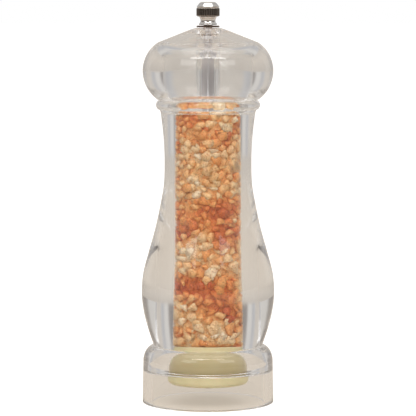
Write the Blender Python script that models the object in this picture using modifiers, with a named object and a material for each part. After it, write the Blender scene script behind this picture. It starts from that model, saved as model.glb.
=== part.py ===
"""Clear acrylic salt and pepper mill with a ceramic burr grinder, as separate parts round the Z axis.

Every length is in millimetres and every angle in degrees; the helpers turn them into metres and radians.
The mill stands on z = 0, and its front is -Y. Turning the head turns the square shaft and the rotor.
Turning the knob clockwise draws the shaft and the rotor up against the spring, for a finer grind.
"""

import math

import bmesh
import bpy
from mathutils import Matrix

MM = 0.001
GAP = 0.3                      # between pieces that touch or are pressed together
EDGE = 0.4                     # chamfer that breaks a turned edge

# ---------------------------------------------------------------- driving dimensions
HEIGHT = 203.2                 # 8 inches, foot to the top of the knob
BODY_STEPS = 36                # facets round the large turned parts
FINE_STEPS = 24                # facets round the small ones

# Body: outside
FOOT_R = 33.4
BASE_R = 33.0                  # the base draws in a little above its foot
SHOULDER_Z = 21.2              # where the base starts to round over
SHOULDER_SIZE = (5.8, 7.9)     # the shoulder's half depth and half height
NECK_R, NECK_Z = 27.7, 29.3    # V between the base's shoulder and the belly
RIM_Z = 153.8                  # top of the body, where the head rests
BEAD_R, BEAD_Z = 26.3, 151.4   # the roll round the rim
BEAD_SIZE = (1.9, 2.4)         # its half depth and half height
BELLY_AND_WAIST = [            # radius and height down the side, from under the bead to the neck
    (24.1, 148.4), (23.1, 141.0), (22.3, 132.0), (22.0, 122.0), (22.4, 111.0), (24.1, 101.0),
    (26.7, 89.0), (30.2, 76.5), (32.9, 66.0), (33.7, 56.0), (32.7, 46.5), (30.5, 37.7), (NECK_R, NECK_Z),
]

# Body: inside
RECESS_R, RECESS_Z = 28.4, 16.9         # hollow of the base, open at the bottom
SOCKET_R, SOCKET_Z = 20.2, 29.1         # counterbore for the grinder
BORE_LOW_R, BORE_HIGH_R = 18.0, 16.6    # the salt chamber, drafted towards the top
MOUTH_R, MOUTH_Z = 19.8, 147.8          # counterbore for the head ring's spigot

# Head
HEAD_Z = RIM_Z + GAP           # underside
HEAD_TOP_Z = 190.2             # the small flat that the knob's washer rests on
HEAD_R, HEAD_MID_Z = 33.0, 168.7        # widest place
HEAD_LOW_ARC, HEAD_HIGH_ARC = 18.0, 17.0  # radii of the bulb below and above it
CONE_R = 25.2                  # where the bulb meets the cone
CONE_TOP = (9.3, 189.3)        # where the cone rounds over to the flat
CAVITY_R, CAVITY_Z = 22.9, 172.5        # hollow inside, and where its corner starts
CAVITY_CORNER = 6.0            # radius of that corner
CEILING_Z = 183.5              # top of the hollow, beside the boss
BOSS_R, BOSS_Z = 5.8, 163.9    # the boss round the shaft, and its lower end
BOSS_HOLE_Z = 173.0            # where the boss's round hole ends and its square socket starts
STUD_HOLE_R = 2.75             # hole for the threaded end of the shaft
SPIGOT_R, SPIGOT_Z = 19.4, MOUTH_Z + 0.4
RING_R, RING_Z = CAVITY_R - GAP, 158.6  # the part of the ring inside the head

# Shaft
SHAFT_SIDE = 4.76              # 3/16 inch square
SHAFT_CORNER_R = SHAFT_SIDE / math.sqrt(2)
SHAFT_TURN = 45.0              # its corners face front, back and sides at rest
SQUARE_HOLE = SHAFT_SIDE + 0.4
SHAFT_Z = (10.4, 178.0)        # the square length
STUD_R, STUD_Z = 2.38, 199.4   # No. 10 thread, and its upper end
THREAD_PITCH, THREAD_DEPTH, THREAD_LOW_Z = 0.8, 0.3, 188.0
TRAVEL = 1.6                   # how far the knob can draw the shaft up
HEAD_SOCKET_TOP = SHAFT_Z[1] + TRAVEL + 0.8

# Knob
WASHER_R, WASHER_Z = 5.8, (HEAD_TOP_Z + GAP, HEAD_TOP_Z + 1.2)
KNOB_Z = WASHER_Z[1] + GAP
KNOB_R, BAND_Z = 5.85, (196.1, 200.3)   # the knurled band
KNURLS, KNURL_DEPTH = 36, 0.3
KNOB_CORE_R = KNOB_R - 0.6     # under the knurls
KNOB_TOP_R, KNOB_FOOT_R = 3.9, 4.6
WAIST_R, WAIST_Z, WAIST_SIZE = 3.75, 193.9, (1.6, 1.9)   # the hollow between band and foot
KNOB_BORE_R = STUD_R + 0.17
KNOB_BORE_Z = STUD_Z + TRAVEL + 0.4

# Grinder
HOUSING_R, HOUSING_Z = 19.9, (16.9, 28.7)
SLEEVE_R, SLEEVE_Z = (16.2, 17.5), 32.0  # the housing's upper sleeve, inside the salt chamber
SEAT_R, SEAT_Z = 16.9, 20.0    # bore of the housing and collar round the stator, and its shoulder
BRIDGE_Z = 26.1                # underside of the bridge that steadies the shaft
BRIDGE_HUB_R, BRIDGE_BORE_R = 6.2, 3.75
WINDOW_R, SPOKE_WIDTH = 15.6, 4.0
COLLAR_R, COLLAR_Z, COLLAR_EDGE = 20.5, (9.9, 16.6), 2.2
LIP_R, LIP_Z = 15.6, 11.1      # the collar's lip under the stator
STATOR_R, STATOR_Z = 16.6, (11.4, 19.7)
STATOR_BORE = (14.3, 11.6)     # its bore at the bottom and at the top
KEYS_AT, KEY_HEIGHT = (30.0, 150.0, 270.0), 0.9   # the stator's keys, and the windows above them
KEY_SLOT = (2.4, 6.6)          # depth and width of the housing's slots for them
ROTOR_Z = (11.3, 19.5)
ROTOR_R = (13.2, 8.3)          # the cone at the bottom and at the top
TEETH, STEPS_PER_TOOTH = 24, 3
TOOTH_DEPTH, TOOTH_TWIST = 0.6, 7.5     # depth at the wide end, and degrees of lean
HUB_Z, HUB_FLANGE_R, HUB_FLANGE = (10.1, 19.7), 9.2, 0.9
HUB_HEX, CONE_HEX = 11.2, 11.8  # across flats: hub, and the hole in the cone
SPRING_Z, SPRING_R, SPRING_WIRE, SPRING_TURNS = (20.0, 24.9), 4.5, 0.7, 3.5
THRUST_R, THRUST_Z = 5.4, (25.2, 25.8)

# Salt: it stands inside the housing's sleeve and above it, up to just under the rim
SALT_Z = (HOUSING_Z[1] + 0.6, RIM_Z - 1.4)

# Screws
GRINDER_SCREW_CIRCLE, GRINDER_SCREWS_AT = 18.2, (90.0, 210.0, 330.0)   # between the keys
GRINDER_SCREW = dict(head_r=1.3, head=1.0, shank_r=0.75, length=10.0, slot=0.45)
GRINDER_SCREW_Z = 10.95        # underside of the collar's material, which the head bears on
ROTOR_SCREW = dict(head_r=2.9, head=1.6, shank_r=1.3, length=9.0, slot=0.7)
ROTOR_WASHER_R, ROTOR_WASHER_Z = 4.6, (9.0, 9.8)


# ---------------------------------------------------------------- helpers
def clear_scene():
    for obj in list(bpy.data.objects):
        bpy.data.objects.remove(obj)


def new_collection(name):
    collection = bpy.data.collections.new(name)
    bpy.context.scene.collection.children.link(collection)
    return collection


def new_material(name, color, roughness, metallic=0.0, transmission=0.0):
    material = bpy.data.materials.new(name)
    material.use_nodes = True
    shader = material.node_tree.nodes["Principled BSDF"]
    shader.inputs["Base Color"].default_value = (*color, 1.0)
    shader.inputs["Roughness"].default_value = roughness
    shader.inputs["Metallic"].default_value = metallic
    shader.inputs["Transmission Weight"].default_value = transmission
    material.diffuse_color = (*color, 1.0)
    return material


def add_object(name, mesh, collection, material=None):
    obj = bpy.data.objects.new(name, mesh)
    collection.objects.link(obj)
    if material:
        mesh.materials.clear()
        mesh.materials.append(material)
    return obj


def as_cutter(obj):
    obj.hide_render = True
    obj.display_type = "WIRE"
    return obj


def arc(centre, radii, start, end, steps):
    """Points on an ellipse's arc, as (radius, height), with both ends."""
    points = []
    for i in range(steps + 1):
        angle = math.radians(start + (end - start) * i / steps)
        points.append((centre[0] + radii[0] * math.cos(angle), centre[1] + radii[1] * math.sin(angle)))
    return points


def smooth(knots, steps):
    """A Catmull-Rom curve through the knots, with steps points to each span."""
    padded = [knots[0], *knots, knots[-1]]
    points = []
    for before, start, end, after in zip(padded, padded[1:], padded[2:], padded[3:]):
        for i in range(steps):
            t = i / steps
            points.append(tuple(
                0.5 * (2 * b + (c - a) * t + (2 * a - 5 * b + 4 * c - d) * t**2)
                + 0.5 * (3 * b - a - 3 * c + d) * t**3
                for a, b, c, d in zip(before, start, end, after)
            ))
    return [*points, knots[-1]]


def at(radius, angle):
    """The x and y of a point at a radius and an angle."""
    return radius * math.cos(math.radians(angle)), radius * math.sin(math.radians(angle))


def circle(radius, steps):
    return [at(radius, 360.0 * i / steps) for i in range(steps)]


def polygon(across_flats, sides, turn):
    """A regular polygon, turned so that its first corner is at turn degrees."""
    corner = across_flats / 2 / math.cos(math.pi / sides)
    return [at(corner, turn + 360.0 * i / sides) for i in range(sides)]


def turned(name, outline, collection, material=None, closed=True, steps=BODY_STEPS):
    """A lathe part: the outline of (radius, height) runs down its outer side, then back up its bore."""
    mesh = bpy.data.meshes.new(name)
    count = len(outline)
    edges = [(i, i + 1) for i in range(count - 1)]
    if closed:
        edges.append((count - 1, 0))
    mesh.from_pydata([(r * MM, 0.0, z * MM) for r, z in outline], edges, [])
    obj = add_object(name, mesh, collection, material)
    screw = obj.modifiers.new("Turn", "SCREW")
    screw.axis = "Z"
    screw.angle = math.tau
    screw.steps = screw.render_steps = steps
    screw.use_merge_vertices = True
    screw.merge_threshold = 0.00001
    screw.use_smooth_shade = True
    return obj


def extruded(name, outlines, low, high, collection, material=None):
    """A flat shape of one or more outlines, with any inner outline a hole, raised from low to high."""
    curve = bpy.data.curves.new(name, "CURVE")
    curve.dimensions = "2D"
    curve.fill_mode = "BOTH"
    curve.extrude = (high - low) / 2 * MM
    for outline in outlines:
        spline = curve.splines.new("POLY")
        spline.points.add(len(outline) - 1)
        spline.use_cyclic_u = True
        for point, (x, y) in zip(spline.points, outline):
            point.co = (x * MM, y * MM, 0.0, 1.0)
    source = bpy.data.objects.new(name + "_outline", curve)
    collection.objects.link(source)
    source.location.z = (low + high) / 2 * MM
    bpy.context.view_layer.update()
    evaluated = source.evaluated_get(bpy.context.evaluated_depsgraph_get())
    mesh = bpy.data.meshes.new_from_object(evaluated)
    weld(mesh)
    obj = add_object(name, mesh, collection, material)
    obj.matrix_world = source.matrix_world
    bpy.data.objects.remove(source)
    return obj


def weld(mesh):
    """Joins a curve's caps to its sides."""
    shape = bmesh.new()
    shape.from_mesh(mesh)
    bmesh.ops.remove_doubles(shape, verts=shape.verts, dist=0.000001)
    bmesh.ops.recalc_face_normals(shape, faces=shape.faces)
    shape.to_mesh(mesh)
    shape.free()


def box(name, size, centre, collection, material=None, turn=0.0):
    """A block of the given size, turned about the vertical line through its centre."""
    bpy.ops.mesh.primitive_cube_add(size=1.0)
    mesh = bpy.context.object.data
    bpy.data.objects.remove(bpy.context.object)
    mesh.transform(Matrix.Diagonal([length * MM for length in size]).to_4x4())
    obj = add_object(name, mesh, collection, material)
    obj.location = [length * MM for length in centre]
    obj.rotation_euler.z = math.radians(turn)
    return obj


def combine(obj, operation, *others):
    for other in others:
        boolean = obj.modifiers.new(operation.title(), "BOOLEAN")
        boolean.operation = operation
        boolean.solver = "EXACT"
        boolean.object = as_cutter(other)
    return obj


def polar_solid(name, rings, collection, material, steps):
    """A ring-shaped loft. Each ring is (radius of an angle, height, twist); the last joins the first."""
    shape = bmesh.new()
    loops = []
    for radius_at, height, twist in rings:
        loop = []
        for i in range(steps):
            angle = 360.0 * i / steps
            x, y = at(radius_at(angle), angle + twist)
            loop.append(shape.verts.new((x * MM, y * MM, height * MM)))
        loops.append(loop)
    for upper, lower in zip(loops, loops[1:] + loops[:1]):
        for i in range(steps):
            j = (i + 1) % steps
            shape.faces.new((upper[i], lower[i], lower[j], upper[j]))
    bmesh.ops.recalc_face_normals(shape, faces=shape.faces)
    mesh = bpy.data.meshes.new(name)
    shape.to_mesh(mesh)
    shape.free()
    return add_object(name, mesh, collection, material)


# ---------------------------------------------------------------- body and its contents
def body_outline():
    outside = arc((BEAD_R - BEAD_SIZE[0], BEAD_Z), BEAD_SIZE, 90, -90, 8)
    outside += smooth(BELLY_AND_WAIST, 2)
    outside += arc((BASE_R - SHOULDER_SIZE[0], SHOULDER_Z), SHOULDER_SIZE, 80, 0, 5)
    outside += [(FOOT_R, EDGE), (FOOT_R - EDGE, 0.0)]
    inside = [(RECESS_R + 2 * EDGE, 0.0), (RECESS_R + EDGE, EDGE), (RECESS_R, RECESS_Z - 2 * EDGE)]
    inside += [(RECESS_R - 2 * EDGE, RECESS_Z), (SOCKET_R, RECESS_Z), (SOCKET_R, SOCKET_Z)]
    inside += [(BORE_LOW_R, SOCKET_Z), (BORE_HIGH_R, MOUTH_Z), (MOUTH_R, MOUTH_Z)]
    inside += [(MOUTH_R, RIM_Z - EDGE), (MOUTH_R + EDGE, RIM_Z)]
    return outside + inside


def bore_radius(height):
    """The drafted bore at a height above the grinder's socket."""
    share = (height - SOCKET_Z) / (MOUTH_Z - SOCKET_Z)
    return BORE_LOW_R + (BORE_HIGH_R - BORE_LOW_R) * share


def make_body(parts, materials):
    turned("body", body_outline(), parts, materials["acrylic"])


def make_salt(parts, materials):
    """The granular fill as one column round the shaft, from the grinder to just under the rim."""
    low, high = SALT_Z
    above_sleeve = SLEEVE_Z + GAP
    outline = [
        (BORE_HIGH_R - GAP, high), (BORE_HIGH_R - GAP, MOUTH_Z),
        (bore_radius(above_sleeve) - GAP, above_sleeve), (SLEEVE_R[0] - GAP, above_sleeve),
        (SLEEVE_R[0] - GAP, low), (SHAFT_CORNER_R + 0.5, low), (SHAFT_CORNER_R + 0.5, high),
    ]
    turned("salt_fill", outline, parts, materials["salt"])


# ---------------------------------------------------------------- head and knob
def head_outline():
    high_centre = (HEAD_R - HEAD_HIGH_ARC, HEAD_MID_Z)
    low_centre = (HEAD_R - HEAD_LOW_ARC, HEAD_MID_Z)
    corner_centre = (CAVITY_R - CAVITY_CORNER, CAVITY_Z)
    cone_angle = math.degrees(math.acos((CONE_R - high_centre[0]) / HEAD_HIGH_ARC))
    foot_angle = math.degrees(math.asin((HEAD_MID_Z - HEAD_Z) / HEAD_LOW_ARC))
    pilot_r = SHAFT_SIDE / 2 - 0.1
    hole_r = SQUARE_HOLE / math.sqrt(2) + 0.1
    outside = [(STUD_HOLE_R, HEAD_TOP_Z), (WASHER_R + 0.5, HEAD_TOP_Z), CONE_TOP]
    outside += arc(high_centre, (HEAD_HIGH_ARC, HEAD_HIGH_ARC), cone_angle, 0, 7)
    outside += arc(low_centre, (HEAD_LOW_ARC, HEAD_LOW_ARC), 0, -foot_angle, 7)[1:]
    inside = [(CAVITY_R, HEAD_Z), (CAVITY_R, CAVITY_Z)]
    inside += arc(corner_centre, (CAVITY_CORNER, CAVITY_CORNER), 0, 70, 4)[1:]
    inside += [(BOSS_R + 1.0, CEILING_Z), (BOSS_R, CEILING_Z - 1.0), (BOSS_R, BOSS_Z + EDGE)]
    inside += [(BOSS_R - EDGE, BOSS_Z), (hole_r, BOSS_Z), (hole_r, BOSS_HOLE_Z), (pilot_r, BOSS_HOLE_Z)]
    inside += [(pilot_r, HEAD_SOCKET_TOP), (STUD_HOLE_R, HEAD_SOCKET_TOP)]
    return outside + inside


def make_head(parts, cutters, materials):
    """The hollow head. A square socket above its boss's hole takes the shaft and drives it."""
    head = turned("head", head_outline(), parts, materials["acrylic"])
    depth = HEAD_SOCKET_TOP - BOSS_HOLE_Z + 1.0
    socket = box(
        "head_socket", (SQUARE_HOLE, SQUARE_HOLE, depth), (0, 0, HEAD_SOCKET_TOP - depth / 2), cutters,
        turn=SHAFT_TURN,
    )
    combine(head, "DIFFERENCE", socket)


def make_head_ring(parts, materials):
    """The ring fixed in the head's open underside, with a spigot that turns in the body's mouth."""
    bore, underside = BORE_HIGH_R, HEAD_Z + 0.2
    outline = [(RING_R - EDGE, RING_Z), (RING_R, RING_Z - EDGE), (RING_R, underside), (SPIGOT_R, underside)]
    outline += [(SPIGOT_R, SPIGOT_Z + EDGE), (SPIGOT_R - EDGE, SPIGOT_Z), (bore, SPIGOT_Z)]
    outline += [(bore, RING_Z - EDGE), (bore + EDGE, RING_Z)]
    turned("head_ring", outline, parts, materials["acrylic"])


def make_knob(parts, cutters, materials):
    """The adjusting nut, with a knurled band, a waist and a blind threaded bore, and its washer."""
    band_low, band_high = BAND_Z
    outline = [(0.0, HEIGHT), (KNOB_TOP_R - EDGE, HEIGHT), (KNOB_TOP_R, HEIGHT - EDGE / 2)]
    outline += [(KNOB_R - 0.1, band_high), (KNOB_CORE_R, band_high), (KNOB_CORE_R, band_low)]
    outline += [(KNOB_R - EDGE, band_low), (KNOB_FOOT_R - EDGE, band_low - 0.7)]
    outline += arc((WAIST_R + WAIST_SIZE[0], WAIST_Z), WAIST_SIZE, 150, 215, 5)
    outline += [(KNOB_FOOT_R, KNOB_Z + EDGE), (KNOB_FOOT_R, KNOB_Z), (KNOB_BORE_R, KNOB_Z)]
    outline += [(KNOB_BORE_R, KNOB_BORE_Z), (0.0, KNOB_BORE_Z)]
    knob = turned("knob", outline, parts, materials["chrome"], closed=False, steps=FINE_STEPS)
    teeth = [at(KNOB_R - KNURL_DEPTH * (i % 2), 180.0 * i / KNURLS) for i in range(2 * KNURLS)]
    hollow = circle(KNOB_CORE_R - 0.6, FINE_STEPS)
    band = extruded("knob_band", [teeth, hollow], band_low + 0.1, band_high - 0.1, cutters)
    combine(knob, "UNION", band)


def make_knob_washer(parts, materials):
    low, high = WASHER_Z
    edge = EDGE / 2
    outline = [(STUD_HOLE_R, high), (WASHER_R - edge, high), (WASHER_R, high - edge)]
    outline += [(WASHER_R, low + edge), (WASHER_R - edge, low), (STUD_HOLE_R, low)]
    turned("knob_washer", outline, parts, materials["chrome"], steps=FINE_STEPS)


# ---------------------------------------------------------------- shaft
def thread_outline():
    """The turned upper end, with its thread drawn as ridges one pitch apart."""
    foot = SHAFT_Z[1] - 0.5
    points = [(0.0, STUD_Z), (STUD_R - EDGE, STUD_Z), (STUD_R, STUD_Z - EDGE)]
    crest = STUD_Z - THREAD_PITCH
    while crest > THREAD_LOW_Z:
        points += [(STUD_R, crest), (STUD_R - THREAD_DEPTH, crest - THREAD_PITCH / 2)]
        crest -= THREAD_PITCH
    return [*points, (STUD_R, crest), (STUD_R, foot), (0.0, foot)]


def make_shaft(parts, cutters, materials):
    low, high = SHAFT_Z
    shaft = box(
        "shaft", (SHAFT_SIDE, SHAFT_SIDE, high - low), (0, 0, (low + high) / 2), parts,
        materials["aluminium"], turn=SHAFT_TURN,
    )
    stud = turned("shaft_stud", thread_outline(), cutters, closed=False, steps=FINE_STEPS)
    depth = ROTOR_SCREW["length"] + 1.0
    screw_hole = extruded(
        "shaft_screw_hole", [circle(ROTOR_SCREW["shank_r"] + 0.2, 16)], low - 1.0, low + depth, cutters
    )
    combine(shaft, "UNION", stud)
    combine(shaft, "DIFFERENCE", screw_hole)


# ---------------------------------------------------------------- grinder
def window(direction):
    """One opening of the bridge, between two spokes, as seen from above."""
    inner, outer, half = BRIDGE_HUB_R, WINDOW_R, SPOKE_WIDTH / 2
    points = []
    for radius, ends in ((inner, (1, -1)), (outer, (-1, 1))):
        spread = 60.0 - math.degrees(math.asin(half / radius))
        for i in range(9):
            share = ends[0] + (ends[1] - ends[0]) * i / 8
            points.append(at(radius, direction + spread * share))
    return points


def make_housing(parts, cutters, materials):
    """The housing pressed into the body: a bridge with three windows above the stator's seat."""
    low, high = HOUSING_Z
    sleeve_bore, sleeve_r = SLEEVE_R
    outline = [
        (sleeve_bore, SLEEVE_Z), (sleeve_r - EDGE, SLEEVE_Z), (sleeve_r, SLEEVE_Z - EDGE), (sleeve_r, high),
        (HOUSING_R - EDGE, high), (HOUSING_R, high - EDGE), (HOUSING_R, low), (SEAT_R, low),
        (SEAT_R, SEAT_Z), (STATOR_BORE[1] + 0.9, SEAT_Z), (WINDOW_R + 0.6, BRIDGE_Z - 0.6),
        (WINDOW_R + 0.6, BRIDGE_Z), (BRIDGE_BORE_R, BRIDGE_Z), (BRIDGE_BORE_R, high), (sleeve_bore, high),
    ]
    housing = turned("grinder_housing", outline, parts, materials["cream_plastic"])
    windows = extruded(
        "bridge_windows", [window(angle) for angle in KEYS_AT], BRIDGE_Z - 0.4, high + 1.0, cutters
    )
    combine(housing, "DIFFERENCE", windows)
    for number, angle in enumerate(KEYS_AT, 1):
        centre = (*at(SEAT_R, angle), (low + SEAT_Z) / 2 - 0.5)
        slot = box(f"key_slot_{number}", (*KEY_SLOT, SEAT_Z - low + 1.0), centre, cutters, turn=angle)
        combine(housing, "DIFFERENCE", slot)
    return housing


def make_collar(parts, materials):
    """The rounded collar that holds the stator up in the housing."""
    low, high = COLLAR_Z
    outline = [(COLLAR_R - EDGE, high), (COLLAR_R, high - EDGE)]
    outline += arc((COLLAR_R - COLLAR_EDGE, low + COLLAR_EDGE), (COLLAR_EDGE, COLLAR_EDGE), 0, -90, 6)
    outline += [(LIP_R + EDGE, low), (LIP_R, low + EDGE), (LIP_R, LIP_Z), (SEAT_R, LIP_Z), (SEAT_R, high)]
    return turned("grinder_collar", outline, parts, materials["cream_plastic"])


def saw_teeth(radius, depth):
    """A radius that falls by depth along each tooth, and steps back up at the next one."""
    pitch = 360.0 / TEETH
    last = 1 - 1 / STEPS_PER_TOOTH
    return lambda angle: radius - depth * (angle % pitch) / pitch / last


def plain(radius):
    return lambda angle: radius


def flats(across, sides):
    """The radius of a regular polygon, with a corner at angle 0."""
    sector = 360.0 / sides
    return lambda angle: across / 2 / math.cos(math.radians(sector / 2 - angle % sector))


def keyed(radius):
    """A circle with a key about 10 degrees wide at each of KEYS_AT."""
    return lambda angle: radius + KEY_HEIGHT * any(abs(angle - key) < 5.1 for key in KEYS_AT)


def make_burrs(parts, materials):
    """The fixed ring and the turning cone. Both have saw teeth that lean as they climb."""
    steps = TEETH * STEPS_PER_TOOTH
    low, high = STATOR_Z
    bore_low, bore_high = (radius + TOOTH_DEPTH for radius in STATOR_BORE)
    key_z = HOUSING_Z[0] + GAP
    polar_solid("stator_ring", [
        (keyed(STATOR_R), high, 0), (keyed(STATOR_R), key_z, 0), (plain(STATOR_R), key_z - 0.2, 0),
        (plain(STATOR_R), low, 0), (saw_teeth(bore_low, TOOTH_DEPTH), low, 0),
        (saw_teeth(bore_high, TOOTH_DEPTH), high, TOOTH_TWIST),
    ], parts, materials["ceramic"], steps)
    low, high = ROTOR_Z
    wide, narrow = ROTOR_R
    polar_solid("rotor_cone", [
        (flats(CONE_HEX, 6), high, 0), (saw_teeth(narrow, 2 * TOOTH_DEPTH), high, TOOTH_TWIST),
        (saw_teeth((wide + narrow) / 2, 1.5 * TOOTH_DEPTH), (low + high) / 2, TOOTH_TWIST / 2),
        (saw_teeth(wide, TOOTH_DEPTH), low, 0), (flats(CONE_HEX, 6), low, 0),
    ], parts, materials["ceramic"], steps)


def make_hub(parts, cutters, materials):
    """The hexagonal hub that carries the cone, on a flange, and slides on the square shaft."""
    low, high = HUB_Z
    hole = polygon(SQUARE_HOLE, 4, SHAFT_TURN + 45)
    hexagon = polygon(HUB_HEX, 6, 0)
    hub = extruded("rotor_hub", [hexagon, hole], low + 0.4, high, parts, materials["cream_plastic"])
    flange = extruded("hub_flange", [circle(HUB_FLANGE_R, FINE_STEPS), hole], low, low + HUB_FLANGE, cutters)
    combine(hub, "UNION", flange)


def make_spring(parts, materials):
    """The open coil between the hub and the thrust washer."""
    low, high = SPRING_Z
    per_turn = 14
    count = round(SPRING_TURNS * per_turn) + 1
    curve = bpy.data.curves.new("spring", "CURVE")
    curve.dimensions = "3D"
    curve.bevel_depth = SPRING_WIRE / 2 * MM
    curve.bevel_resolution = 2
    curve.use_fill_caps = True
    spline = curve.splines.new("POLY")
    spline.points.add(count - 1)
    for i, point in enumerate(spline.points):
        x, y = at(SPRING_R, 360.0 * i / per_turn)
        height = low + SPRING_WIRE / 2 + (high - low - SPRING_WIRE) * i / (count - 1)
        point.co = (x * MM, y * MM, height * MM, 1.0)
    curve.materials.append(materials["steel"])
    spring = bpy.data.objects.new("spring", curve)
    parts.objects.link(spring)


def make_washers(parts, materials):
    """The thrust washer turns with the square shaft; the rotor washer holds the hub on its end."""
    square, steel = polygon(SQUARE_HOLE, 4, SHAFT_TURN + 45), materials["steel"]
    extruded("thrust_washer", [circle(THRUST_R, FINE_STEPS), square], *THRUST_Z, parts, steel)
    hole = circle(ROTOR_SCREW["shank_r"] + GAP, 16)
    extruded("rotor_washer", [circle(ROTOR_WASHER_R, FINE_STEPS), hole], *ROTOR_WASHER_Z, parts, steel)


def make_screw(name, sizes, place, parts, cutters, materials):
    """A pan-head screw driven upwards, whose head bears on the height that place gives."""
    x, y, z = place
    head_r, head, shank_r, length = (sizes[key] for key in ("head_r", "head", "shank_r", "length"))
    outline = [(0.0, length), (shank_r - EDGE, length), (shank_r, length - EDGE), (shank_r, 0.0)]
    outline += [(head_r, 0.0)]
    outline += [(head_r, -0.4 * head), (head_r - 0.4 * head, -head), (0.0, -head)]
    screw = turned(name, outline, parts, materials["steel"], closed=False, steps=16)
    slot_size = (2 * head_r + 1, sizes["slot"], head)
    slot = box(name + "_slot", slot_size, (x, y, z - head), cutters, turn=30)
    combine(screw, "DIFFERENCE", slot)
    screw.location = (x * MM, y * MM, z * MM)
    return screw


def make_screws(housing, collar, parts, cutters, materials):
    """One screw up the shaft, and three through the collar's pockets into the housing."""
    make_screw("rotor_screw", ROTOR_SCREW, (0, 0, ROTOR_WASHER_Z[0] - GAP), parts, cutters, materials)
    below = COLLAR_Z[0] - 1.0
    pocket_r, hole_r = GRINDER_SCREW["head_r"] + GAP / 2, GRINDER_SCREW["shank_r"] + GAP / 2
    pocket_top, hole_top = GRINDER_SCREW_Z + GAP, GRINDER_SCREW_Z + GRINDER_SCREW["length"] + 0.5
    for number, angle in enumerate(GRINDER_SCREWS_AT, 1):
        x, y = at(GRINDER_SCREW_CIRCLE, angle)
        pocket = extruded(f"pocket_{number}", [circle(pocket_r, 16)], below, pocket_top, cutters)
        hole = extruded(f"screw_hole_{number}", [circle(hole_r, 12)], below, hole_top, cutters)
        for cutter in (pocket, hole):
            cutter.location.x += x * MM
            cutter.location.y += y * MM
        combine(collar, "DIFFERENCE", pocket, hole)
        combine(housing, "DIFFERENCE", hole)
        make_screw(
            f"grinder_screw_{number}", GRINDER_SCREW, (x, y, GRINDER_SCREW_Z), parts, cutters, materials
        )


# ---------------------------------------------------------------- the whole mill
def group_under_joint_axes(parts):
    """Parents each moving part to an empty on its joint's axis, in the order the joints carry them."""
    axes = {}
    for name, parent, height in (
        ("drive_axis", None, THRUST_Z[0]), ("shaft_axis", "drive_axis", SHAFT_Z[0]),
        ("head_axis", "drive_axis", HEAD_Z), ("washer_axis", "head_axis", WASHER_Z[0]),
        ("knob_axis", "washer_axis", KNOB_Z),
    ):
        empty = bpy.data.objects.new(name, None)
        parts.objects.link(empty)
        carrier, carrier_height = axes.get(parent, (None, 0.0))
        empty.location.z = (height - carrier_height) * MM
        empty.parent = carrier
        axes[name] = (empty, height)
    carried = {
        "drive_axis": ("thrust_washer",),
        "shaft_axis": ("shaft", "spring", "rotor_hub", "rotor_cone", "rotor_washer", "rotor_screw"),
        "head_axis": ("head", "head_ring"),
        "washer_axis": ("knob_washer",),
        "knob_axis": ("knob",),
    }
    for axis, names in carried.items():
        empty, height = axes[axis]
        for name in names:
            obj = bpy.data.objects[name]
            obj.parent = empty
            obj.location.z -= height * MM


def main():
    clear_scene()
    parts, cutters = new_collection("acrylic_mill"), new_collection("cutters")
    materials = {
        "acrylic": new_material("clear_acrylic", (0.93, 0.92, 0.90), 0.03, transmission=1.0),
        "salt": new_material("pink_salt", (0.85, 0.45, 0.27), 0.5),
        "chrome": new_material("chrome", (0.72, 0.70, 0.68), 0.12, metallic=1.0),
        "aluminium": new_material("aluminium", (0.66, 0.65, 0.68), 0.3, metallic=1.0),
        "cream_plastic": new_material("cream_plastic", (0.83, 0.79, 0.56), 0.45),
        "ceramic": new_material("ceramic", (0.90, 0.88, 0.80), 0.35),
        "steel": new_material("steel", (0.60, 0.60, 0.60), 0.25, metallic=1.0),
    }
    make_body(parts, materials)
    make_salt(parts, materials)
    make_head(parts, cutters, materials)
    make_head_ring(parts, materials)
    make_knob(parts, cutters, materials)
    make_knob_washer(parts, materials)
    make_shaft(parts, cutters, materials)
    housing = make_housing(parts, cutters, materials)
    collar = make_collar(parts, materials)
    make_burrs(parts, materials)
    make_hub(parts, cutters, materials)
    make_spring(parts, materials)
    make_washers(parts, materials)
    make_screws(housing, collar, parts, cutters, materials)
    group_under_joint_axes(parts)


main()
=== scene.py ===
"""The looks of the clear acrylic salt mill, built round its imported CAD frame.

Lengths are millimetres and angles degrees, as in the CAD source; the helpers turn them into metres
and radians. Every piece keeps the size and place of the CAD node that it replaces, and adds rounded
edges, fine facets, threads, knurls, burr teeth and loose crystals, with a procedural material each.
"""
import math
import random

import bmesh
import bpy
from mathutils import Matrix, Vector
from mathutils.noise import noise as perlin


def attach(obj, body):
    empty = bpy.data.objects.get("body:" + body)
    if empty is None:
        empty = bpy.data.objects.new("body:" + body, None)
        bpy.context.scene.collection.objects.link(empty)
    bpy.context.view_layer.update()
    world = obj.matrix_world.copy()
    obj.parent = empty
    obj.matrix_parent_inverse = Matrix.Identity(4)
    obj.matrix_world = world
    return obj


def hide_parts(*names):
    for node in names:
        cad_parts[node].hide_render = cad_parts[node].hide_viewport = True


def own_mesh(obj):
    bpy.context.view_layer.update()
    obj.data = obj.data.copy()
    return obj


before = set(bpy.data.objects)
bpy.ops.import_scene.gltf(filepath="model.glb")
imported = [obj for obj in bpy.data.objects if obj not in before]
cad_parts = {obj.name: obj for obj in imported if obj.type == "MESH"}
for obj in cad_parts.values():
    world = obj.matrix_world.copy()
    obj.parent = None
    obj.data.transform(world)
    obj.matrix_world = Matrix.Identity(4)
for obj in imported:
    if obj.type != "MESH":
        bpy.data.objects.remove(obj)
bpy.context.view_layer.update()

MM = 0.001
STEPS = 144                    # facets round a large turned piece
FINE = 72                      # facets round a small one
SHARP_ANGLE = 38               # edges sharper than this stay crisp in the shading
RANDOM_SEED = 11

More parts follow.
